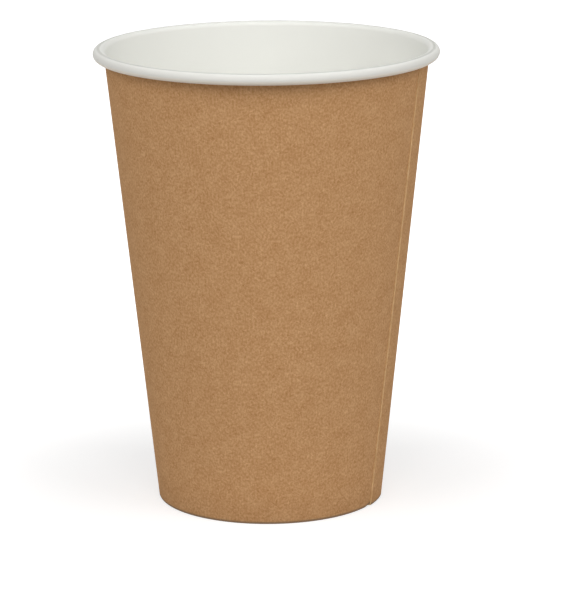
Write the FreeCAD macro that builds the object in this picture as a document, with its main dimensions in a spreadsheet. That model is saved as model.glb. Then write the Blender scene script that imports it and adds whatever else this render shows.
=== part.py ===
import FreeCAD, Part
import os
from math import asin, atan, cos, degrees, radians, sin, sqrt, tan

import Sketcher
from FreeCAD import Placement, Rotation, Vector

# A paper cup for hot drinks, made of two pieces of coated paperboard.
# The side wall is one fan-shaped sheet, brown kraft outside and white inside. It is wrapped into a
# cone, its two ends overlap in a glued side seam, its top edge is rolled outwards into a bead, and its
# bottom edge is folded in and up as a hem. The base is a round board pressed into a shallow pan,
# whose skirt is gripped between the wall and the hem, so that the cup stands on the fold.
# Frame: millimetres, +Z up, the cup's axis on Z and the foot on Z = 0. -Y is the front.

SIZES = {
    "rim_diameter": 70.0,      # over the rolled bead
    "base_diameter": 45.9,     # over the wall, where it would meet the table
    "cup_height": 93.6,        # from the table to the top of the bead
    "board": 0.28,             # thickness of the wall's board
    "base_board": 0.25,        # thickness of the base's board
    "bead_height": 2.2,        # height of the rolled bead's section
    "bead_width": 2.5,         # its width, which is a little more, because the roll is pressed down
    "bead_gap": 0.04,          # from the tail of the roll to the outer end of the seam beside it
    "bead_tail": 20.0,         # degrees that the roll goes on past a full turn
    "seam_overlap": 7.0,       # width of the glued overlap
    "seam_ramp": 5.0,          # degrees over which the outer end climbs onto the inner end
    "seam_turn": 9.2,          # degrees from the right side, +X, towards the front, to the inner end
    "hem_height": 5.2,         # from the table to the hem's cut edge
    "foot_corner": 0.22,       # outside radius of the fold that the cup stands on
    "base_depth": 6.4,         # from the table up to the underside of the base
    "base_corner": 0.45,       # inside radius between the base and its skirt
    "skirt_gap": 0.3,          # from the skirt's cut edge down to the fold
}
TRIM_MARGIN = 5.0                             # the trimming block's clearance from the seam's outer end
TURN_MARGIN = 3.0                             # degrees that the outer end is turned past its trimmed edge
UP, LEFT, BELOW, ROUND = 90, 180, 270, 360    # directions in a section, in degrees from level
ORIGIN, UPRIGHT = -1, -2                      # the sketcher's numbers for its origin and its two axes
START, END, CENTRE = range(1, 4)              # the sketcher's numbers for the points of a line or an arc

doc = FreeCAD.newDocument("paper_cup")


def make_sheet():
    """Writes the driving dimensions into a spreadsheet, each with an alias."""
    sheet = doc.addObject("Spreadsheet::Sheet", "Sizes")
    for row, (name, value) in enumerate(SIZES.items(), start=1):
        sheet.set(f"A{row}", name)
        sheet.set(f"B{row}", str(value))
        sheet.setAlias(f"B{row}", name)
    doc.recompute()
    return sheet


sizes = make_sheet()


class Wall:
    """Where the wall's faces lie, worked out from the sizes, to start each sketch near its solution.

    The roll has a level stretch on top, the crest, between a quarter turn from the wall and a half
    turn outside. The wall's outer face passes through the base diameter and touches the inside of
    the first of them.
    """

    def __init__(self):
        self.bead = sizes.bead_height / 2
        self.crest = sizes.bead_width - sizes.bead_height
        self.outer = (sizes.rim_diameter / 2 - self.bead, sizes.cup_height - self.bead)
        self.centre = (self.outer[0] - self.crest, self.outer[1])
        across = self.centre[0] - sizes.base_diameter / 2
        reach = sqrt(across**2 + self.centre[1]**2)
        self.lean = atan(across / self.centre[1]) - asin((self.bead - sizes.board) / reach)
        clear = 2 * sizes.board + sizes.bead_gap - self.crest * cos(self.lean)
        self.tail = self.bead - clear / (1 + sin(self.lean))
        self.tail_centre = (self.outer[0], self.outer[1] - self.bead + self.tail)

    def point(self, inward, height):
        """A point at a height, that far inside the wall's outer face."""
        base = sizes.base_diameter / 2 - inward / cos(self.lean)
        return (base + height * tan(self.lean), height)

    def touch(self, radius):
        """The point where a circle round the inner end of the crest meets a face of the wall."""
        return (self.centre[0] - radius * cos(self.lean), self.centre[1] + radius * sin(self.lean))


wall = Wall()
LEAN = degrees(wall.lean)
CREST_TERM = "(Sizes.bead_width - Sizes.bead_height)"
BEAD_OUT = f"((Sizes.rim_diameter - Sizes.bead_height - Sizes.base_diameter) / 2 - {CREST_TERM})"
BEAD_UP = "(Sizes.cup_height - Sizes.bead_height / 2)"
LEAN_TERM = (f"(atan({BEAD_OUT} / {BEAD_UP}) - asin((Sizes.bead_height / 2 - Sizes.board)"
             f" / sqrt({BEAD_OUT}^2 + {BEAD_UP}^2)))")
CLEAR_TERM = f"(2 * Sizes.board + Sizes.bead_gap - {CREST_TERM} * cos({LEAN_TERM}))"
TAIL_TERM = f"Sizes.bead_height / 2 - {CLEAR_TERM} / (1 + sin({LEAN_TERM}))"


def plane_of(body, role):
    """One of the body's own origin planes."""
    return next(f for f in body.Origin.OriginFeatures if f.Role == role)


class Section:
    """A sketch on a plane through the cup's axis: x is the radius and y the height."""

    def __init__(self, body, name, turn=None):
        self.sketch = body.newObject("Sketcher::SketchObject", name)
        self.sketch.AttachmentSupport = (plane_of(body, "XZ_Plane"), [""])
        self.sketch.MapMode = "FlatFace"
        if turn:
            self.sketch.AttachmentOffset = Placement(Vector(), Rotation(Vector(0, 1, 0), 1))
            self.sketch.setExpression("AttachmentOffset.Rotation.Angle", turn)

    def line(self, start, end, construction=False):
        edge = Part.LineSegment(Vector(*start, 0), Vector(*end, 0))
        return self.sketch.addGeometry(edge, construction)

    def circle(self, centre, radius):
        edge = Part.Circle(Vector(*centre, 0), Vector(0, 0, 1), radius)
        return self.sketch.addGeometry(edge, True)

    def arc(self, centre, radius, first, last):
        """An arc that runs anticlockwise from one direction to another, in degrees."""
        edge = Part.Circle(Vector(*centre, 0), Vector(0, 0, 1), radius)
        return self.sketch.addGeometry(Part.ArcOfCircle(edge, radians(first), radians(last)), False)

    def rule(self, kind, *where):
        return self.sketch.addConstraint(Sketcher.Constraint(kind, *where))

    def join(self, first, first_point, second, second_point):
        self.rule("Coincident", first, first_point, second, second_point)

    def flow(self, first, first_point, second, second_point):
        """Joins two edges end to end without a corner."""
        self.rule("Tangent", first, first_point, second, second_point)

    def size(self, kind, where, value, name, expression):
        """A dimension, set near its value and bound to the spreadsheet."""
        number = self.rule(kind, *where, value)
        self.sketch.renameConstraint(number, name)
        self.sketch.setExpression(f"Constraints.{name}", expression)

    def turn_solid(self, body, name, angle=None):
        """Turns the section about the cup's axis, all the way round or by an angle."""
        turned = body.newObject("PartDesign::Revolution", name)
        turned.Profile = (self.sketch, [""])
        turned.ReferenceAxis = (self.sketch, ["V_Axis"])
        turned.Angle = ROUND
        if angle:
            turned.setExpression("Angle", angle)
        doc.recompute()
        return turned


def add_form(section):
    """Construction edges that carry the cup's shape.

    They are the wall's outer face, the inside of the roll's first turn, and a level line below the
    crest that joins the centres of the roll's two turns.
    """
    radius = wall.bead - sizes.board
    form = section.line(wall.point(0, 0), wall.touch(radius), True)
    circle = section.circle(wall.centre, radius)
    centres = section.line(wall.centre, wall.outer, True)
    section.rule("PointOnObject", form, START, ORIGIN)
    section.rule("Tangent", form, END, circle)
    section.join(centres, START, circle, CENTRE)
    section.rule("Horizontal", centres)
    section.size("DistanceX", (ORIGIN, START, form, START), wall.point(0, 0)[0],
                 "foot_radius", "Sizes.base_diameter / 2")
    section.size("DistanceX", (ORIGIN, START, centres, END), wall.outer[0],
                 "bead_across", "(Sizes.rim_diameter - Sizes.bead_height) / 2")
    section.size("DistanceX", (centres, START, centres, END), wall.crest, "crest", CREST_TERM)
    section.size("DistanceY", (ORIGIN, START, circle, CENTRE), wall.centre[1], "bead_up", BEAD_UP)
    section.size("Radius", (circle,), radius, "bead_inside", "Sizes.bead_height / 2 - Sizes.board")
    return form, centres


def add_face(section, form, centres, face, layer):
    """One face of the wall's board: the cone, the roll over the rim, and the tail tucked in below it."""
    boards = layer + (face == "kraft")
    depth = boards * sizes.board
    top = sizes.cup_height - depth
    cone = section.line(wall.point(sizes.board - depth, sizes.board), wall.touch(wall.bead - depth))
    shoulder = section.arc(wall.centre, wall.bead - depth, UP, LEFT - LEAN)
    crest = section.line((wall.centre[0], top), (wall.outer[0], top))
    roll = section.arc(wall.outer, wall.bead - depth, BELOW, UP + ROUND)
    tuck = section.arc(wall.tail_centre, wall.tail - depth, LEFT - sizes.bead_tail, BELOW)
    section.join(shoulder, CENTRE, centres, START)
    section.join(roll, CENTRE, centres, END)
    section.flow(cone, END, shoulder, END)
    section.flow(crest, START, shoulder, START)
    section.flow(crest, END, roll, END)
    section.flow(tuck, END, roll, START)
    section.rule("Parallel", cone, form)
    section.rule("Horizontal", crest)
    section.size("Radius", (roll,), wall.bead - depth, f"{face}_roll",
                 f"Sizes.bead_height / 2 - {boards} * Sizes.board")
    return cone, roll, tuck


def add_roll_edge(section, white, kraft, layer):
    """The cut edge at the end of the roll's tail, on a ray of the tail's arcs."""
    (_, white_roll, white_tuck), (_, _, kraft_tuck) = white, kraft
    aim = (cos(radians(LEFT - sizes.bead_tail)), sin(radians(LEFT - sizes.bead_tail)))
    ends = [tuple(c + (wall.tail - (layer + n) * sizes.board) * a for c, a in zip(wall.tail_centre, aim))
            for n in (1, 0)]
    cut = section.line(*ends)
    section.rule("Vertical", white_roll, CENTRE, white_roll, START)
    section.join(kraft_tuck, CENTRE, white_tuck, CENTRE)
    section.join(cut, START, kraft_tuck, START)
    section.join(cut, END, white_tuck, START)
    section.rule("PointOnObject", white_tuck, CENTRE, cut)
    section.size("Angle", (cut,), radians(LEFT - sizes.bead_tail), "roll_end", f"{LEFT} - Sizes.bead_tail")
    section.size("Radius", (white_tuck,), wall.tail - layer * sizes.board, "tail_radius",
                 f"{TAIL_TERM} - {layer} * Sizes.board")


def add_hem(section, form, white_cone, kraft_cone, layer):
    """The fold at the foot and the hem inside it, with room between wall and hem for the base's skirt."""
    board, corner, top = sizes.board, sizes.foot_corner, sizes.hem_height
    room = sizes.base_board + 2 * layer * board
    outside = -layer * board
    inside = outside + board + room
    fold = section.line(wall.point(inside, board), wall.point(outside + board, board))
    white = section.line(wall.point(inside, board), wall.point(inside, top))
    kraft = section.line(wall.point(inside + board, corner), wall.point(inside + board, top))
    cut = section.line(wall.point(inside, top), wall.point(inside + board, top))
    inner_x = wall.point(inside + board, 0)[0] + corner
    outer_x = wall.point(outside, 0)[0] - corner
    inner = section.arc((inner_x, corner), corner, LEFT - LEAN, BELOW)
    outer = section.arc((outer_x, corner), corner, BELOW, ROUND - LEAN)
    flat = section.line((inner_x, 0), (outer_x, 0))

    section.join(fold, START, white, START)
    section.join(fold, END, white_cone, START)
    section.join(cut, START, white, END)
    section.join(cut, END, kraft, END)
    section.flow(kraft, START, inner, START)
    section.flow(flat, START, inner, END)
    section.flow(flat, END, outer, START)
    section.flow(kraft_cone, START, outer, END)
    section.rule("Horizontal", fold)
    section.rule("Horizontal", flat)
    section.rule("PointOnObject", flat, START, ORIGIN)
    section.rule("Parallel", white, form)
    section.rule("Parallel", kraft, form)
    section.rule("Perpendicular", cut, white)
    section.rule("Equal", inner, outer)
    section.size("Radius", (outer,), corner, "foot_corner", "Sizes.foot_corner")
    section.size("DistanceY", (ORIGIN, START, fold, START), board, "fold_height", "Sizes.board")
    section.size("DistanceY", (ORIGIN, START, white, END), top, "hem_height", "Sizes.hem_height")
    section.size("Distance", (white, START, white_cone), room, "skirt_room",
                 f"Sizes.base_board + {2 * layer} * Sizes.board")
    section.size("Distance", (kraft, END, white), board, "hem_board", "Sizes.board")


def add_wall_section(section, layer):
    """Section of the wall's board, from the tail of the roll to the hem's cut edge.

    Layer 0 is the board on its own. Layer 1 is the outer end of the seam, which lies one board
    further out on the wall, and so one board further in along the roll and the hem.
    """
    form, centres = add_form(section)
    white = add_face(section, form, centres, "white", layer)
    kraft = add_face(section, form, centres, "kraft", layer)
    add_roll_edge(section, white, kraft, layer)
    add_hem(section, form, white[0], kraft[0], layer)


def make_wrapped_sheet():
    """The wrapped sheet: most of a turn, and the ramp by which it climbs onto its own inner end."""
    body = doc.addObject("PartDesign::Body", "WrappedSheet")
    around = Section(body, "SheetSection", "Sizes.seam_ramp")
    add_wall_section(around, 0)
    over = Section(body, "RampSection")
    add_wall_section(over, 1)
    doc.recompute()
    around.turn_solid(body, "SheetTurn", f"{ROUND} - Sizes.seam_ramp")
    ramp = body.newObject("PartDesign::AdditiveLoft", "SeamRamp")
    ramp.Profile = (around.sketch, [""])
    ramp.Sections = [(over.sketch, [""])]
    ramp.Ruled = True
    doc.recompute()
    return body


def make_trim_sketch(body):
    """A rectangle on the table, seen from above, that takes off the sheet beyond the seam's outer edge."""
    sketch = body.newObject("Sketcher::SketchObject", "TrimSketch")
    sketch.AttachmentSupport = (plane_of(body, "XY_Plane"), [""])
    sketch.MapMode = "FlatFace"
    near = -sizes.seam_overlap
    far = near - sizes.base_diameter / 2
    out = sizes.rim_diameter / 2 + TRIM_MARGIN
    corners = [Vector(0, near, 0), Vector(out, near, 0), Vector(out, far, 0), Vector(0, far, 0)]
    edges = [sketch.addGeometry(Part.LineSegment(a, b), False)
             for a, b in zip(corners, corners[1:] + corners[:1])]
    for edge, following in zip(edges, edges[1:] + edges[:1]):
        sketch.addConstraint(Sketcher.Constraint("Coincident", edge, END, following, START))
    for edge, kind in zip(edges, ("Horizontal", "Vertical", "Horizontal", "Vertical")):
        sketch.addConstraint(Sketcher.Constraint(kind, edge))
    sketch.addConstraint(Sketcher.Constraint("PointOnObject", edges[0], START, UPRIGHT))
    for name, kind, first, second, value, expression in (
            ("overlap", "DistanceY", (edges[0], START), (ORIGIN, START), -near, "Sizes.seam_overlap"),
            ("reach", "DistanceX", (ORIGIN, START), (edges[0], END), out,
             f"Sizes.rim_diameter / 2 + {TRIM_MARGIN}"),
            ("depth", "DistanceY", (edges[3], START), (edges[3], END), near - far,
             "Sizes.base_diameter / 2")):
        number = sketch.addConstraint(Sketcher.Constraint(kind, *first, *second, value))
        sketch.renameConstraint(number, name)
        sketch.setExpression(f"Constraints.{name}", expression)
    doc.recompute()
    return sketch


def make_seam_flap():
    """The outer end of the sheet, glued over the inner end and trimmed to a straight edge."""
    body = doc.addObject("PartDesign::Body", "SeamFlap")
    section = Section(body, "FlapSection")
    add_wall_section(section, 1)
    doc.recompute()
    turned = section.turn_solid(
        body, "FlapTurn", f"asin(2 * Sizes.seam_overlap / Sizes.base_diameter) + {TURN_MARGIN} deg")
    turned.Reversed = True
    trim = body.newObject("PartDesign::Pocket", "FlapTrim")
    trim.Profile = (make_trim_sketch(body), [""])
    trim.Type = "ThroughAll"
    trim.Midplane = True
    doc.recompute()
    return body


def make_side_wall():
    """The whole wall: the wrapped sheet with its outer end glued down."""
    fuse = doc.addObject("Part::MultiFuse", "SideWall")
    fuse.Label = "side_wall"
    fuse.Shapes = [make_wrapped_sheet(), make_seam_flap()]
    fuse.Refine = True
    fuse.Placement = Placement(Vector(), Rotation(Vector(0, 0, -1), sizes.seam_turn))
    fuse.setExpression("Placement.Rotation.Angle", "Sizes.seam_turn")
    doc.recompute()
    return fuse


def make_base():
    """The base: a flat round board, with its edge turned down into a skirt that lies on the wall."""
    body = doc.addObject("PartDesign::Body", "Base")
    body.Label = "base_disc"
    section = Section(body, "BaseSection")
    form, _ = add_form(section)
    board, thick = sizes.board, sizes.base_board
    low, high, bend = board + sizes.skirt_gap, sizes.base_depth, sizes.base_corner
    bend_centre = (wall.point(board + thick, high - bend)[0] - bend, high - bend)
    top = section.line((0, high + thick), (bend_centre[0], high + thick))
    bottom = section.line((0, high), (bend_centre[0], high))
    axis = section.line((0, high), (0, high + thick))
    bend_out = section.arc(bend_centre, bend + thick, -LEAN, UP)
    bend_in = section.arc(bend_centre, bend, -LEAN, UP)
    skirt_out = section.line(wall.point(board, low), wall.point(board, high - bend))
    skirt_in = section.line(wall.point(board + thick, low), wall.point(board + thick, high - bend))
    cut = section.line(wall.point(board, low), wall.point(board + thick, low))

    section.join(axis, START, bottom, START)
    section.join(axis, END, top, START)
    section.join(bend_in, CENTRE, bend_out, CENTRE)
    section.join(cut, START, skirt_out, START)
    section.join(cut, END, skirt_in, START)
    section.flow(top, END, bend_out, END)
    section.flow(bottom, END, bend_in, END)
    section.flow(skirt_out, END, bend_out, START)
    section.flow(skirt_in, END, bend_in, START)
    section.rule("PointOnObject", axis, START, UPRIGHT)
    section.rule("Vertical", axis)
    section.rule("Horizontal", top)
    section.rule("Horizontal", bottom)
    section.rule("Parallel", skirt_out, form)
    section.rule("Parallel", skirt_in, form)
    section.rule("Perpendicular", cut, skirt_out)
    section.size("Radius", (bend_in,), bend, "base_corner", "Sizes.base_corner")
    section.size("Distance", (skirt_out, START, form), board, "wall_board", "Sizes.board")
    section.size("DistanceY", (axis, START, axis, END), thick, "base_board", "Sizes.base_board")
    section.size("DistanceY", (ORIGIN, START, axis, START), high, "base_depth", "Sizes.base_depth")
    section.size("DistanceY", (ORIGIN, START, cut, START), low, "skirt_foot",
                 "Sizes.board + Sizes.skirt_gap")
    doc.recompute()
    section.turn_solid(body, "BaseTurn")
    return body


def check(sub_parts):
    """Stops before anything is written if an object failed or a shape is unsound."""
    failed = [o.Name for o in doc.Objects if {"Invalid", "Error"} & set(o.State)]
    if failed:
        raise RuntimeError(f"these objects failed: {failed}")
    for part in sub_parts:
        if part.Shape.isNull() or not part.Shape.isValid() or not part.Shape.Solids:
            raise RuntimeError(f"{part.Label} has no sound solid")


sub_parts = [make_side_wall(), make_base()]
doc.recompute()
check(sub_parts)
os.makedirs("parts", exist_ok=True)
for part in sub_parts:
    part.Shape.exportStep(f"parts/{part.Label}.step")
    print(part.Label, len(part.Shape.Solids), "solid,", round(part.Shape.Volume, 1), "cubic mm")
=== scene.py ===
from math import asin, atan, cos, degrees, hypot, pi, radians, sin, tan

import bpy
from mathutils import Matrix, Vector


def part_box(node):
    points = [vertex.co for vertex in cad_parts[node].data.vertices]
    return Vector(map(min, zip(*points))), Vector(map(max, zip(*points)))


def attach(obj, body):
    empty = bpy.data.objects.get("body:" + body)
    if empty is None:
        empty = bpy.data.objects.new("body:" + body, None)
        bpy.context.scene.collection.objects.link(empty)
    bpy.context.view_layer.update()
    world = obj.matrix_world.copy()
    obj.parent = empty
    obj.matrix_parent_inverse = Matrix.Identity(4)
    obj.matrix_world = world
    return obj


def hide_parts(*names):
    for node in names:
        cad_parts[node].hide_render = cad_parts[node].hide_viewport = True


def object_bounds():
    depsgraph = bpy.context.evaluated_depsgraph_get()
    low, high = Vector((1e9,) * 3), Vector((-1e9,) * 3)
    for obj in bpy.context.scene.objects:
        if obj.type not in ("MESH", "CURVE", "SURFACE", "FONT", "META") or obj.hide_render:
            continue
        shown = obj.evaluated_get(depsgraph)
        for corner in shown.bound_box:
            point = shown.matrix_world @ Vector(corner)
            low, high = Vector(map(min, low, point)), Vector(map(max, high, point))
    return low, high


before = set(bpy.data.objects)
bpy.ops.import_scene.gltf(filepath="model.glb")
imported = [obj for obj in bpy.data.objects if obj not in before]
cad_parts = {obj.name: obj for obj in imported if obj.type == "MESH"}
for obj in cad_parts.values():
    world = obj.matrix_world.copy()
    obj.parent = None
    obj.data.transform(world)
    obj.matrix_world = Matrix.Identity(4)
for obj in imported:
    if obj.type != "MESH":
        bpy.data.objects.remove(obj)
cad_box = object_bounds()

# Side wall: one fan-shaped sheet of paperboard, brown kraft outside and white coated inside, wrapped
# into a cone and glued over itself as a side seam. Its top edge is rolled outwards into the white bead,
# and its bottom edge is folded in and up as a hem that grips the base.
MM = 0.001
rim_radius = cad_box[1][0]
cup_height = cad_box[1][2]
foot_radius = 22.95 * MM
board = 0.28 * MM
base_board = 0.25 * MM
bead_height = 2.2 * MM
bead_width = 2.5 * MM
bead_gap = 0.04 * MM
tail_turn = 20
hem_height = 5.2 * MM
fold_corner = 0.05 * MM
seam_overlap = 7.0 * MM
seam_ramp = radians(5)
seam_turn = radians(9.2)
glue = 0.012 * MM
press_ribs = 96
press_depth = 0.035 * MM
press_low = 1.2 * MM
press_high = hem_height - 0.8 * MM

# how many steps each stretch of the sheet's section is cut into, and how many rows go round the cup
tail_steps = 8
outer_roll_steps = 22
inner_roll_steps = 11
wall_steps = 14
corner_steps = 3
hem_steps = 8
wall_rows = 481

bead = bead_height / 2
crest = bead_width - bead_height
bead_across = rim_radius - bead
bead_up = cup_height - bead
spread = bead_across - crest - foot_radius
lean = atan(spread / bead_up) - asin((bead - board) / hypot(spread, bead_up))
tail = bead - (2 * board + bead_gap - crest * cos(lean)) / (1 + sin(lean))

# the sheet's length on the inner side of the roll, and distances on the flat blank, from the centre of
# its fan: to the fold at the foot, and to the outer and inner edge of the strip pressed flat on the roll
inner_roll = 1.5 * bead
fold_reach = foot_radius / sin(lean)
crest_reach = fold_reach + bead_up / cos(lean) + inner_roll + crest
pressed_reach = crest_reach - crest


def wall_radius(inward, height):
    """Radius of a face of the cone, that far inside the wall's outer face, at a height."""
    return foot_radius - inward / cos(lean) + height * tan(lean)


def arc_points(across, up, radius, first, last, steps):
    """Points on an arc in the cup's section, from one direction to another in degrees."""
    turns = [radians(first + (last - first) * step / steps) for step in range(steps + 1)]
    return [(across + radius * cos(turn), up + radius * sin(turn)) for turn in turns]


def line_points(start, end, steps):
    """Points along a straight line in the cup's section, without its start."""
    return [(start[0] + (end[0] - start[0]) * step / steps, start[1] + (end[1] - start[1]) * step / steps)
            for step in range(1, steps + 1)]


def white_rail(depth, lift):
    """The white face in section, from the tail of the roll, over the rim, down the wall and up the hem.

    The roll is pressed a little flat on top, so it is wider than it is high. depth is how far the
    face lies outside the wall's own white face, and lift how far the fold at the foot is raised.
    """
    lean_degrees = degrees(lean)
    points = arc_points(bead_across, bead_up - bead + tail, tail - depth, 180 - tail_turn, 270, tail_steps)
    points += arc_points(bead_across, bead_up, bead - depth, 270, 450, outer_roll_steps)[1:]
    points += arc_points(bead_across - crest, bead_up, bead - depth, 90, 180 - lean_degrees,
                         inner_roll_steps)
    fold = board + lift
    outer, inner = board - depth, board + base_board + depth
    foot_outer = wall_radius(outer, fold) - fold_corner
    foot_inner = wall_radius(inner, fold) + fold_corner
    corner_up = fold + fold_corner
    outer_turn = arc_points(foot_outer, corner_up, fold_corner, -lean_degrees, -90, corner_steps)
    inner_turn = arc_points(foot_inner, corner_up, fold_corner, 270, 180 - lean_degrees, corner_steps)
    points += line_points(points[-1], outer_turn[0], wall_steps)
    points += outer_turn[1:] + inner_turn
    points += line_points(inner_turn[-1], (wall_radius(inner, hem_height), hem_height), hem_steps)
    return points


def rail_mesh(name, rails, flat_starts, ribs):
    """A mesh of loose points: one rail of a board face after another, radius on X and height on Z.

    Each point also holds its distance from the centre of the flat blank, and how deep the press
    marks are there.
    """
    mesh = bpy.data.meshes.new(name)
    mesh.from_pydata([(r, 0, z) for rail in rails for r, z in rail], [], [])
    flat = mesh.attributes.new("flat", "FLOAT", "POINT")
    rib = mesh.attributes.new("rib", "FLOAT", "POINT")
    number = 0
    for rail, start in zip(rails, flat_starts):
        reach = start
        for place, point in enumerate(rail):
            if place:
                reach -= hypot(point[0] - rail[place - 1][0], point[1] - rail[place - 1][1])
            flat.data[number].value = reach
            rib.data[number].value = ribs(*point)
            number += 1
    return mesh


def new_node(tree, kind, *values, **settings):
    """Adds a node, sets it up and fills its inputs in order with values or with other nodes' outputs."""
    node = tree.nodes.new(kind)
    for name, value in settings.items():
        setattr(node, name, value)
    for socket, value in zip([s for s in node.inputs if s.enabled], values):
        if isinstance(value, bpy.types.NodeSocket):
            tree.links.new(value, socket)
        elif value is not None:
            socket.default_value = value
    return node


def figure(tree, operation, *values):
    """One step of arithmetic in a node tree."""
    return new_node(tree, "ShaderNodeMath", *values, operation=operation).outputs[0]


def eased(tree, value, low, high):
    """0 at low and before it, 1 at high and past it, and a smooth change between them."""
    return new_node(tree, "ShaderNodeMapRange", value, low, high, 0.0, 1.0,
                    interpolation_type="SMOOTHSTEP").outputs[0]


def make_wrapping_tree():
    """Wraps the rails of a board's white face round the cup's axis and gives the board its thickness."""
    merge_distance = 0.001 * MM
    least_turn = 0.0001
    tree = bpy.data.node_groups.new("wrap board round the axis", "GeometryNodeTree")
    for name, kind in (("Rails", "Geometry"), ("Rail points", "Int"), ("Rows", "Int"), ("Board", "Float"),
                       ("Overlap", "Float"), ("Overlap turn", "Float"), ("Ramp", "Float"),
                       ("Seam turn", "Float"), ("Fan", "Float"), ("Ribs", "Int"), ("Rib depth", "Float"),
                       ("White face", "Material"), ("Outer face", "Material"), ("Cut edge", "Material")):
        tree.interface.new_socket(name=name, in_out="INPUT", socket_type=f"NodeSocket{kind}")
    tree.interface.new_socket(name="Board", in_out="OUTPUT", socket_type="NodeSocketGeometry")
    given = tree.nodes.new("NodeGroupInput").outputs

    # a sheet of rows round the cup by points along the rail, with each point's row and place on the rail
    count = given["Rail points"]
    sheet = new_node(tree, "GeometryNodeMeshGrid", 1.0, 1.0, given["Rows"], count).outputs["Mesh"]
    index = tree.nodes.new("GeometryNodeInputIndex").outputs[0]
    row = figure(tree, "FLOOR", figure(tree, "DIVIDE", figure(tree, "ADD", index, 0.5), count))
    place = figure(tree, "SUBTRACT", index, figure(tree, "MULTIPLY", row, count))

    # how far round each row is: negative on the seam's outer end, and a full turn at the inner end
    share = figure(tree, "DIVIDE", row, figure(tree, "SUBTRACT", given["Rows"], 1))
    span = figure(tree, "ADD", given["Overlap turn"], 2 * pi)
    travel = figure(tree, "SUBTRACT", figure(tree, "MULTIPLY", share, span), given["Overlap turn"])
    over = figure(tree, "SUBTRACT", 1, eased(tree, travel, 0.0, given["Ramp"]))
    under_start = figure(tree, "SUBTRACT", figure(tree, "SUBTRACT", 2 * pi, given["Overlap turn"]),
                         given["Ramp"])
    under = eased(tree, travel, under_start, figure(tree, "ADD", under_start, given["Ramp"]))

    # the point of the rail for this row, between the plain rail, the outer end's and the inner end's
    def from_rail(value, data_type, rail):
        picked = figure(tree, "ADD", place, figure(tree, "MULTIPLY", count, rail))
        return new_node(tree, "GeometryNodeSampleIndex", given["Rails"], value, picked,
                        data_type=data_type, domain="POINT").outputs[0]

    def blend_rails(factor, first, second):
        return new_node(tree, "ShaderNodeMix", factor, first, second, data_type="VECTOR").outputs[1]

    position = tree.nodes.new("GeometryNodeInputPosition").outputs[0]
    plain, outer, inner = (from_rail(position, "FLOAT_VECTOR", rail) for rail in range(3))
    point = blend_rails(over, blend_rails(under, plain, inner), outer)
    parts = new_node(tree, "ShaderNodeSeparateXYZ", point).outputs
    flat_name = new_node(tree, "GeometryNodeInputNamedAttribute", "flat", data_type="FLOAT").outputs[0]
    rib_name = new_node(tree, "GeometryNodeInputNamedAttribute", "rib", data_type="FLOAT").outputs[0]
    flat = from_rail(flat_name, "FLOAT", 0)
    rib = from_rail(rib_name, "FLOAT", 0)

    # the outer end is cut along a straight line, so it reaches further round where the cup is narrow
    reach = figure(tree, "ARCSINE", figure(tree, "DIVIDE", given["Overlap"], parts["X"]))
    before = figure(tree, "MINIMUM", travel, 0.0)
    nominal = figure(tree, "MAXIMUM", given["Overlap turn"], least_turn)
    cut = figure(tree, "MULTIPLY", figure(tree, "DIVIDE", before, nominal), reach)
    angle = figure(tree, "ADD", figure(tree, "MAXIMUM", travel, 0.0), cut)

    # the press marks are waves in the radius, and the seam is turned to its place
    wave = figure(tree, "COSINE", figure(tree, "MULTIPLY", angle, given["Ribs"]))
    pressed = figure(tree, "MULTIPLY", figure(tree, "MULTIPLY", wave, rib), given["Rib depth"])
    radius = figure(tree, "ADD", parts["X"], pressed)
    turned = figure(tree, "SUBTRACT", angle, given["Seam turn"])
    placed = new_node(tree, "ShaderNodeCombineXYZ",
                      figure(tree, "MULTIPLY", radius, figure(tree, "COSINE", turned)),
                      figure(tree, "MULTIPLY", radius, figure(tree, "SINE", turned)),
                      parts["Z"]).outputs[0]

    # the place on the flat blank is kept as the UV map, so that the board's grain follows the sheet
    fanned = figure(tree, "MULTIPLY", angle, given["Fan"])
    blank = new_node(tree, "ShaderNodeCombineXYZ",
                     figure(tree, "MULTIPLY", flat, figure(tree, "SINE", fanned)),
                     figure(tree, "MULTIPLY", flat, figure(tree, "COSINE", fanned)), 0.0).outputs[0]
    held = new_node(tree, "GeometryNodeStoreNamedAttribute", sheet, None, "blank", blank,
                    data_type="FLOAT_VECTOR", domain="POINT").outputs[0]
    shaped = new_node(tree, "GeometryNodeSetPosition", held, None, placed).outputs[0]
    closed = new_node(tree, "GeometryNodeMergeByDistance", shaped, None, merge_distance).outputs[0]
    blank_name = new_node(tree, "GeometryNodeInputNamedAttribute", "blank",
                          data_type="FLOAT_VECTOR").outputs[0]
    mapped = new_node(tree, "GeometryNodeStoreNamedAttribute", closed, None, "UVMap", blank_name,
                      data_type="FLOAT2", domain="CORNER").outputs[0]

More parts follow.
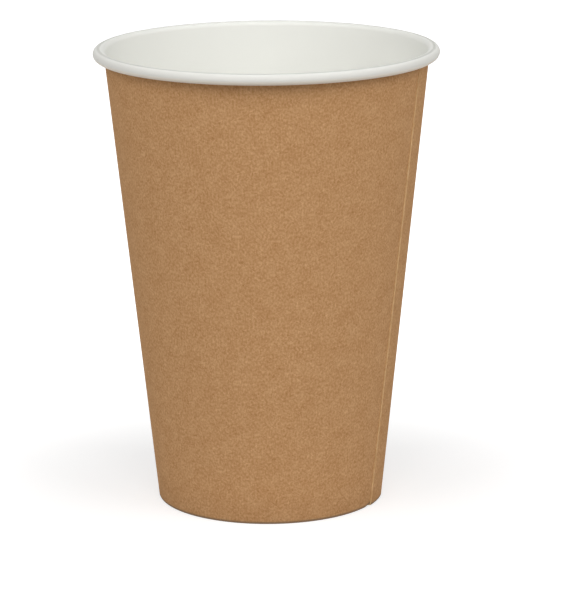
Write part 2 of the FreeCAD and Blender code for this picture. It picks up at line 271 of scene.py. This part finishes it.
    # the board: the white face, the outer face one thickness away, and the cut edges between them
    outward = new_node(tree, "GeometryNodeFlipFaces", mapped).outputs[0]
    raised = new_node(tree, "GeometryNodeExtrudeMesh", outward, None, None, given["Board"], False,
                      mode="FACES").outputs
    outside = new_node(tree, "GeometryNodeStoreNamedAttribute", raised["Mesh"], raised["Top"], "outer",
                       True, data_type="BOOLEAN", domain="FACE").outputs[0]
    edged = new_node(tree, "GeometryNodeStoreNamedAttribute", outside, raised["Side"], "edge",
                     True, data_type="BOOLEAN", domain="FACE").outputs[0]
    both = tree.nodes.new("GeometryNodeJoinGeometry")
    for part in (edged, mapped):
        tree.links.new(part, both.inputs[0])
    sealed = new_node(tree, "GeometryNodeMergeByDistance", both.outputs[0], None, merge_distance).outputs[0]
    real = new_node(tree, "GeometryNodeRealizeInstances", sealed).outputs[0]
    for name, material in ((None, "White face"), ("outer", "Outer face"), ("edge", "Cut edge")):
        chosen = None
        if name:
            chosen = new_node(tree, "GeometryNodeInputNamedAttribute", name,
                              data_type="BOOLEAN").outputs[0]
        real = new_node(tree, "GeometryNodeSetMaterial", real, chosen, given[material]).outputs[0]
    new_node(tree, "NodeGroupOutput", real)
    return tree


def wrap_board(name, rails, tree, **sizes):
    """Runs the wrapping tree on a set of rails and returns the board as a plain mesh object."""
    shape = bpy.data.objects.new(f"{name}_rails", rails)
    bpy.context.scene.collection.objects.link(shape)
    modifier = shape.modifiers.new("wrap", "NODES")
    modifier.node_group = tree
    for socket in tree.interface.items_tree:
        given = sizes.get(socket.name.lower().replace(" ", "_"))
        if socket.in_out == "INPUT" and given is not None:
            modifier[socket.identifier] = given
    bpy.context.view_layer.update()
    evaluated = shape.evaluated_get(bpy.context.evaluated_depsgraph_get())
    mesh = bpy.data.meshes.new_from_object(evaluated)
    shape.modifiers.remove(modifier)
    bpy.data.objects.remove(shape)
    mesh.name = name
    mesh.shade_smooth()
    mesh.set_sharp_from_angle(angle=radians(35))
    piece = bpy.data.objects.new(name, mesh)
    bpy.context.scene.collection.objects.link(piece)
    return piece


def new_finish(name, roughness, specular):
    """A material with its surface shader, to which each finish adds its own colour and bump."""
    material = bpy.data.materials.new(name)
    material.use_nodes = True
    shader = material.node_tree.nodes["Principled BSDF"]
    shader.inputs["Roughness"].default_value = roughness
    shader.inputs["Specular IOR Level"].default_value = specular
    return material, material.node_tree, shader


def place_on_blank(tree):
    """The place on the flat blank, and its distance from the centre of the blank's fan."""
    place = tree.nodes.new("ShaderNodeUVMap")
    place.uv_map = "UVMap"
    reach = new_node(tree, "ShaderNodeVectorMath", place.outputs[0], operation="LENGTH").outputs["Value"]
    return place.outputs[0], reach


def speckle(tree, place, size, detail, stretch=(1, 1, 1), turn=0.0):
    """Cloudy noise whose clouds are about that size in metres, drawn out and turned on the board."""
    turned = new_node(tree, "ShaderNodeMapping", place, None, (0, 0, turn)).outputs[0]
    drawn = new_node(tree, "ShaderNodeMapping", turned, None, None, stretch).outputs[0]
    return new_node(tree, "ShaderNodeTexNoise", drawn, 1 / size, detail, 0.5,
                    noise_dimensions="3D").outputs["Fac"]


def swayed(tree, tone, noise, amount):
    """A tone made lighter and darker by a noise."""
    return figure(tree, "MULTIPLY_ADD", figure(tree, "SUBTRACT", noise, 0.5), amount, tone)


def shaded(tree, tone, dark, light, middle=None):
    """A colour between a dark and a light one, by a tone from 0 to 1."""
    ramp = new_node(tree, "ShaderNodeValToRGB", tone)
    ramp.color_ramp.elements[0].color = dark
    ramp.color_ramp.elements[1].color = light
    if middle:
        ramp.color_ramp.elements.new(0.5).color = middle
    return ramp.outputs[0]


def laid_over(tree, amount, under, colour):
    """A colour laid over another one, by an amount from 0 to 1."""
    return new_node(tree, "ShaderNodeMix", amount, under, colour, data_type="RGBA").outputs[2]


def along_line(tree, reach, line, full, gone):
    """1 up to the distance full from a line round the cup, and 0 from the distance gone on."""
    beside = figure(tree, "ABSOLUTE", figure(tree, "SUBTRACT", reach, line))
    return eased(tree, beside, gone, full)


def dress(tree, shader, colour, strength, depth, height):
    """Gives a surface its colour, and a bump that is that many metres deep."""
    tree.links.new(colour, shader.inputs["Base Color"])
    bump = new_node(tree, "ShaderNodeBump", strength, depth, 1.0, height)
    tree.links.new(bump.outputs[0], shader.inputs["Normal"])


def kraft_finish():
    """Uncoated brown kraft: short fibres lying every way over soft cloudiness, and a painted shadow along
    the fold at the foot.
    """
    dark_kraft = (0.392, 0.172, 0.054, 1)
    brown_kraft = (0.578, 0.318, 0.143, 1)
    light_kraft = (0.772, 0.477, 0.258, 1)
    foot_shadow_kraft = (0.24, 0.165, 0.105, 1)
    grain_turn = radians(28)
    fibre_turns = (8, 67, 128)
    material, tree, shader = new_finish("kraft_paper", 0.85, 0.12)
    blank, reach = place_on_blank(tree)
    grain = speckle(tree, blank, 0.4 * MM, 3.0, (1, 0.75, 1), grain_turn)
    fleck = speckle(tree, blank, 1.5 * MM, 1.0)
    cloud = speckle(tree, blank, 3.6 * MM, 2.0)
    fibres = [speckle(tree, blank, 1.5 * MM, 1.0, (1, 9, 1), radians(turn)) for turn in fibre_turns]
    lightest = figure(tree, "MAXIMUM", figure(tree, "MAXIMUM", fibres[0], fibres[1]), fibres[2])
    darkest = figure(tree, "MINIMUM", figure(tree, "MINIMUM", fibres[0], fibres[1]), fibres[2])
    tone = swayed(tree, 0.0, grain, 1.12)
    tone = swayed(tree, tone, fleck, 0.18)
    tone = swayed(tree, tone, cloud, 0.33)
    tone = figure(tree, "MULTIPLY_ADD", eased(tree, lightest, 0.62, 0.78), 0.30, tone)
    tone = figure(tree, "MULTIPLY_ADD", eased(tree, darkest, 0.38, 0.22), -0.30, tone)
    paper = shaded(tree, figure(tree, "ADD", tone, 0.5), dark_kraft, light_kraft, brown_kraft)
    # painted shadow: a dark line along the fold at the foot stands in for the cup's contact shadow on the
    # table
    painted_foot_shadow = figure(tree, "MULTIPLY", along_line(tree, reach, fold_reach, 0.05 * MM, 0.4 * MM), 0.75)
    surface = laid_over(tree, painted_foot_shadow, paper, foot_shadow_kraft)
    dress(tree, shader, surface, 0.25, 0.02 * MM, figure(tree, "ADD", grain, lightest))
    return material


def coated_finish(name, roughness):
    """White coated board, faintly wavy.

    On the roll, painted shade makes the white duller and warmer over its front, painted bounce light makes
    it creamier and lighter below, and a painted shade line lies faint grey along the inner edge of the
    strip pressed flat on top. The base's disc is too small for these.
    """
    shaded_white = (0.91, 0.91, 0.86, 1)
    clean_white = (0.99, 0.99, 0.94, 1)
    roll_shade_white = (0.82, 0.81, 0.76, 1)
    bounce_lit_white = (0.96, 0.88, 0.76, 1)
    crest_shade_white = (0.71, 0.71, 0.66, 1)
    material, tree, shader = new_finish(name, roughness, 0.15)
    blank, reach = place_on_blank(tree)
    wave = speckle(tree, blank, 2.2 * MM, 2.0)
    grain = speckle(tree, blank, 0.35 * MM, 2.0)
    tone = swayed(tree, swayed(tree, 0.5, wave, 0.05), grain, 0.06)
    surface = shaded(tree, tone, shaded_white, clean_white)
    # painted shade: the front of the roll is made duller and warmer, for shade that the lamps don't give
    painted_roll_shade = eased(tree, reach, crest_reach, crest_reach + bead)
    surface = laid_over(tree, painted_roll_shade, surface, roll_shade_white)
    # painted light: the roll's lower side is made lighter and creamier, for warm light bounced up from
    # below
    painted_bounce_light = eased(tree, reach, crest_reach + 1.3 * bead, crest_reach + 1.9 * bead)
    surface = laid_over(tree, painted_bounce_light, surface, bounce_lit_white)
    # painted shade: a faint grey line along the inner edge of the flat strip on top of the roll
    pressed = along_line(tree, reach, pressed_reach, 0.1 * MM, 0.5 * MM)
    surface = laid_over(tree, pressed, surface, crest_shade_white)
    dress(tree, shader, surface, 0.12, 0.015 * MM, figure(tree, "ADD", wave, grain))
    return material


def cut_finish():
    """The board's cut edge: pale brown fibre, rougher and lighter than the kraft face."""
    dark_fibre = (0.68, 0.44, 0.20, 1)
    light_fibre = (0.98, 0.76, 0.44, 1)
    material, tree, shader = new_finish("cut_board_edge", 0.9, 0.2)
    place = tree.nodes.new("ShaderNodeTexCoord").outputs["Object"]
    grain = speckle(tree, place, 0.12 * MM, 3.0)
    patch = speckle(tree, place, 1.4 * MM, 2.0)
    surface = shaded(tree, swayed(tree, grain, patch, 1.2), dark_fibre, light_fibre)
    dress(tree, shader, surface, 0.5, 0.03 * MM, grain)
    return material


def hem_press(radius, height):
    """1 where the closing tool's ribs are pressed into the hem, at a point of its white face."""
    on_hem = radius < wall_radius(board + 0.5 * base_board, height)
    return float(on_hem and press_low < height < press_high)


kraft = kraft_finish()
coated = coated_finish("coated_white", 0.5)
cut_edge = cut_finish()
wrapping = make_wrapping_tree()
wall_rails = [white_rail(0, 0), white_rail(board + glue, 0), white_rail(0, board + glue)]
rail_steps = [hypot(b[0] - a[0], b[1] - a[1]) for a, b in zip(wall_rails[0], wall_rails[0][1:])]
flat_top = fold_reach + sum(rail_steps) - hem_height / cos(lean)
side_wall = wrap_board(
    "wrapped_side_wall", rail_mesh("side_wall_rails", wall_rails, [flat_top] * 3, hem_press), wrapping,
    rail_points=len(wall_rails[0]), rows=wall_rows, board=board, overlap=seam_overlap,
    overlap_turn=asin(seam_overlap / foot_radius), ramp=seam_ramp, seam_turn=seam_turn, fan=sin(lean),
    ribs=press_ribs, rib_depth=press_depth, white_face=coated, outer_face=kraft, cut_edge=cut_edge)
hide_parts("side_wall")
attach(side_wall, "root")

# Base: a round disc of white coated board, pressed into a shallow pan. Its edge is turned down as a
# skirt, which puckers a little at the bend because a flat disc has too much edge, and the skirt is
# glued between the wall and the hem, so the base stands clear of the table.
base_low, base_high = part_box("base_disc")
base_corner = 0.45 * MM
pucker_count = 84
pucker_depth = 0.03 * MM
flat_steps = 14
bend_steps = 8
skirt_steps = 6
base_rows = 505

base_top = base_high[2]
base_under = base_top - base_board
bend_across = wall_radius(board + base_board, base_under - base_corner) - base_corner
bend_up = base_under - base_corner
bend = base_corner + base_board
skirt_foot = base_low[2] + base_board * sin(lean)
base_rail = [(0, base_top)] + line_points((0, base_top), (bend_across, base_top), flat_steps)
base_rail += arc_points(bend_across, bend_up, bend, 90, -degrees(lean), bend_steps)[1:]
base_rail += line_points(base_rail[-1], (wall_radius(board, skirt_foot), skirt_foot), skirt_steps)
base_rail = [(max(r - glue * (z < bend_up), 0), z) for r, z in base_rail][::-1]


def pucker(radius, height):
    """How deep the puckers are: none on the flat, deepest just where the edge turns down."""
    return max(0.0, min(1.0, (radius - bend_across + base_corner) / base_corner)) * (height > bend_up)


plain_board = coated_finish("plain_white_board", 0.8)
base = wrap_board(
    "base_pan", rail_mesh("base_rails", [base_rail] * 3, [base_rail[0][0]] * 3, pucker), wrapping,
    rail_points=len(base_rail), rows=base_rows, board=base_board, overlap=0.0, overlap_turn=0.0,
    ramp=seam_ramp, seam_turn=0.0, fan=1.0, ribs=pucker_count, rib_depth=pucker_depth,
    white_face=coated, outer_face=plain_board, cut_edge=cut_edge)
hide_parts("base_disc")
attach(base, "root")

# Table and light: a wide white table under a soft white surround, which the camera sees as pure white,
# with the cup's own soft shadow left beside the foot. Three large soft lamps light the cup, from the
# front, the left and the right.
table_size = 6.0
table_grey = (0.55, 0.55, 0.55, 1)
near_glow = 0.6
far_glow = 1.0
glow_starts = 0.03
glow_full = 0.12
surround_light = 0.12
lamp_aim = Vector((0, 0, 0.05))
lamp_size = 1.2


def seen_directly(tree):
    """1 for what the camera, a reflection or a look through glass meets, 0 for light on other ways."""
    ray = tree.nodes.new("ShaderNodeLightPath").outputs
    seen = figure(tree, "MAXIMUM", ray["Is Camera Ray"], ray["Is Glossy Ray"])
    return figure(tree, "MAXIMUM", seen, ray["Is Transmission Ray"])


bpy.ops.mesh.primitive_plane_add(size=table_size)
table = bpy.context.object
table.name = "table"
table_finish, tree, shader = new_finish("white_table", 0.9, 0.2)
shader.inputs["Base Color"].default_value = table_grey
spot = tree.nodes.new("ShaderNodeTexCoord").outputs["Object"]
distance = new_node(tree, "ShaderNodeVectorMath", spot, operation="LENGTH").outputs["Value"]
away = eased(tree, distance, glow_starts, glow_full)
glow = figure(tree, "MULTIPLY_ADD", away, far_glow - near_glow, near_glow)
bright = new_node(tree, "ShaderNodeEmission", (1, 1, 1, 1), glow).outputs[0]
nothing = new_node(tree, "ShaderNodeEmission", (0, 0, 0, 1), 0.0).outputs[0]
shown = new_node(tree, "ShaderNodeMixShader", seen_directly(tree), nothing, bright).outputs[0]
total = new_node(tree, "ShaderNodeAddShader", shader.outputs[0], shown).outputs[0]
tree.links.new(total, tree.nodes["Material Output"].inputs["Surface"])
table.data.materials.append(table_finish)

world = bpy.data.worlds.new("soft surround")
bpy.context.scene.world = world
world.use_nodes = True
tree = world.node_tree
surround = tree.nodes["Background"].inputs
level = new_node(tree, "ShaderNodeMix", seen_directly(tree), surround_light, 1.0, data_type="FLOAT")
tree.links.new(level.outputs[0], surround["Strength"])
surround["Color"].default_value = (1, 1, 1, 1)


def soft_lamp(name, place, power):
    """A square soft lamp, aimed at the middle of the cup."""
    data = bpy.data.lights.new(name, "AREA")
    data.shape = "SQUARE"
    data.size = lamp_size
    data.energy = power
    lamp = bpy.data.objects.new(name, data)
    lamp.location = place
    lamp.rotation_euler = (lamp_aim - Vector(place)).to_track_quat("-Z", "Y").to_euler()
    bpy.context.scene.collection.objects.link(lamp)


soft_lamp("front_lamp", (0, -1.2, 1.3), 10.6)
soft_lamp("left_lamp", (-1.3, -0.8, 1.1), 12.2)
soft_lamp("right_lamp", (1.3, -0.8, 1.1), 14.0)

# Camera: it stands in front of the cup and looks down on it a little, with a long lens, as in the
# photograph. The numbers come from the cup's outline there.
camera_pitch = 0.237
camera_roll = -0.0073
camera_distance = 0.6772
camera_aim = Vector((0.00289, 0, 0.04092))
photo_height = 600
focal_pixels = 3300
sensor = 36
far_limit = 20
camera_data = bpy.data.cameras.new("camera")
camera_data.sensor_width = sensor
camera_data.lens = focal_pixels / photo_height * sensor
camera_data.clip_end = far_limit
camera = bpy.data.objects.new("camera", camera_data)
bpy.context.scene.collection.objects.link(camera)
forward = Vector((0, cos(camera_pitch), -sin(camera_pitch)))
level_up = Vector((0, sin(camera_pitch), cos(camera_pitch)))
level_right = Vector((1, 0, 0))
right = level_right * cos(camera_roll) + level_up * sin(camera_roll)
up = level_up * cos(camera_roll) - level_right * sin(camera_roll)
turn = Matrix((right, up, -forward)).transposed().to_4x4()
camera.matrix_world = Matrix.Translation(camera_aim - forward * camera_distance) @ turn
bpy.context.scene.camera = camera
bpy.context.scene.view_settings.view_transform = "Standard"
